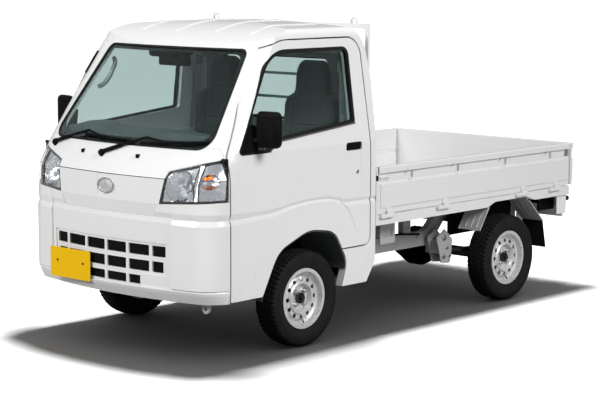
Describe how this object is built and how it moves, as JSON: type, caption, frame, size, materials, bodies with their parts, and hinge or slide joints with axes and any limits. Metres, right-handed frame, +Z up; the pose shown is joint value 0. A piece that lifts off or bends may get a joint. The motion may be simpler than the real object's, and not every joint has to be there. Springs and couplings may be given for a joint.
{
  "type": "kei truck",
  "caption": "Cab-over mini truck with a drop-side cargo bed, opening doors, steered front wheels and pressed steel wheels.",
  "frame": {"origin": "on the floor below the middle of the truck's length and width", "axes": "-Y is the front, +X is the vehicle's own left, +Z is up"},
  "size_m": [1.7592, 3.395, 1.7879],
  "materials": {
    "white_paint": "gloss",
    "frame_grey": "satin",
    "wheel_silver": "satin",
    "black_plastic": "grained",
    "trim_grey": "grained",
    "lamp_bowl": "bright",
    "clear_glass": "clear",
    "tinted_glass": "green grey tint",
    "tyre_black": "matt",
    "rubber_black": "matt",
    "cast_metal": "rough",
    "seat_cloth": "woven",
    "plate_yellow": "semi gloss",
    "lamp_red": "clear red"
  },
  "bodies": {
    "root": {"antenna": "black_plastic", "back_panel": "white_paint", "bed_floor": "white_paint", "bed_front_wall": "white_paint", "buffers": "rubber_black", "cab_floor": "black_plastic", "cowl_panel": "white_paint", "dashboard": "trim_grey", "engine_block": "cast_metal", "exhaust": "cast_metal", "frame_brackets": "frame_grey", "front_bumper": "white_paint", "front_suspension": "cast_metal", "fuel_tank": "cast_metal", "gate_hinges": "white_paint", "grille_backing": "black_plastic", "guard_frame": "white_paint", "headlamp_housings": "lamp_bowl", "headlamp_lenses": "clear_glass", "ladder_frame": "frame_grey", "leaf_springs": "cast_metal", "mud_flaps": "rubber_black", "nose_panel": "white_paint", "number_plate": "plate_yellow", "prop_shaft": "cast_metal", "rear_axle": "cast_metal", "rear_bar": "white_paint", "rear_window": "tinted_glass", "roof_mirror": "black_plastic", "roof_panel": "white_paint", "seat_backs": "seat_cloth", "seat_cushions": "seat_cloth", "side_frame_left": "white_paint", "side_frame_right": "white_paint", "splash_guards": "frame_grey", "steering_column": "trim_grey", "tail_lamps": "lamp_red", "windscreen": "tinted_glass", "wipers": "black_plastic"},
    "steering_wheel": {"steering_wheel": "black_plastic"},
    "tailgate": {"tailgate": "white_paint"},
    "door_left": {"door_glass_left": "tinted_glass", "door_left": "white_paint", "door_mirror_left": "black_plastic"},
    "side_gate_left": {"side_gate_left": "white_paint"},
    "knuckle_left": {"knuckle_left": "cast_metal"},
    "wheel_front_left": {"rim_front_left": "wheel_silver", "tyre_front_left": "tyre_black"},
    "wheel_rear_left": {"rim_rear_left": "wheel_silver", "tyre_rear_left": "tyre_black"},
    "door_right": {"door_glass_right": "tinted_glass", "door_mirror_right": "black_plastic", "door_right": "white_paint"},
    "side_gate_right": {"side_gate_right": "white_paint"},
    "knuckle_right": {"knuckle_right": "cast_metal"},
    "wheel_front_right": {"rim_front_right": "wheel_silver", "tyre_front_right": "tyre_black"},
    "wheel_rear_right": {"rim_rear_right": "wheel_silver", "tyre_rear_right": "tyre_black"}
  },
  "joints": [
    {"name": "door_left_hinge", "type": "hinge", "parent": "root", "child": "door_left", "pos_m": [0.727, -1.442, 0.7], "axis": [0, 0, -1], "range_deg": [0, 68]},
    {"name": "side_gate_left_hinge", "type": "hinge", "parent": "root", "child": "side_gate_left", "pos_m": [0.745, 0.69, 0.662], "axis": [0, 1, 0], "range_deg": [0, 175]},
    {"name": "kingpin_left", "type": "hinge", "parent": "root", "child": "knuckle_left", "pos_m": [0.6525, -0.869, 0.2685], "axis": [0, 0, 1], "range_deg": [-38, 38]},
    {"name": "wheel_front_left_spin", "type": "hinge", "parent": "knuckle_left", "child": "wheel_front_left", "pos_m": [0.6525, -0.869, 0.2685], "axis": [1, 0, 0], "continuous": true},
    {"name": "wheel_rear_left_spin", "type": "hinge", "parent": "root", "child": "wheel_rear_left", "pos_m": [0.65, 1.031, 0.2685], "axis": [1, 0, 0], "continuous": true},
    {"name": "door_right_hinge", "type": "hinge", "parent": "root", "child": "door_right", "pos_m": [-0.727, -1.442, 0.7], "axis": [0, 0, 1], "range_deg": [0, 68]},
    {"name": "side_gate_right_hinge", "type": "hinge", "parent": "root", "child": "side_gate_right", "pos_m": [-0.745, 0.69, 0.662], "axis": [0, -1, 0], "range_deg": [0, 175]},
    {"name": "kingpin_right", "type": "hinge", "parent": "root", "child": "knuckle_right", "pos_m": [-0.6525, -0.869, 0.2685], "axis": [0, 0, 1], "range_deg": [-38, 38]},
    {"name": "wheel_front_right_spin", "type": "hinge", "parent": "knuckle_right", "child": "wheel_front_right", "pos_m": [-0.6525, -0.869, 0.2685], "axis": [1, 0, 0], "continuous": true},
    {"name": "wheel_rear_right_spin", "type": "hinge", "parent": "root", "child": "wheel_rear_right", "pos_m": [-0.65, 1.031, 0.2685], "axis": [1, 0, 0], "continuous": true},
    {"name": "tailgate_hinge", "type": "hinge", "parent": "root", "child": "tailgate", "pos_m": [0, 1.6895, 0.662], "axis": [-1, 0, 0], "range_deg": [0, 172]},
    {"name": "steering_wheel_turn", "type": "hinge", "parent": "root", "child": "steering_wheel", "pos_m": [-0.35, -1.168, 1.052], "axis": [0, 0.5299, 0.848], "range_deg": [-610, 610]}
  ],
  "couplings": [
    {"joint": "kingpin_right", "follows": "kingpin_left", "ratio": 1},
    {"joint": "steering_wheel_turn", "follows": "kingpin_left", "ratio": 16}
  ]
}
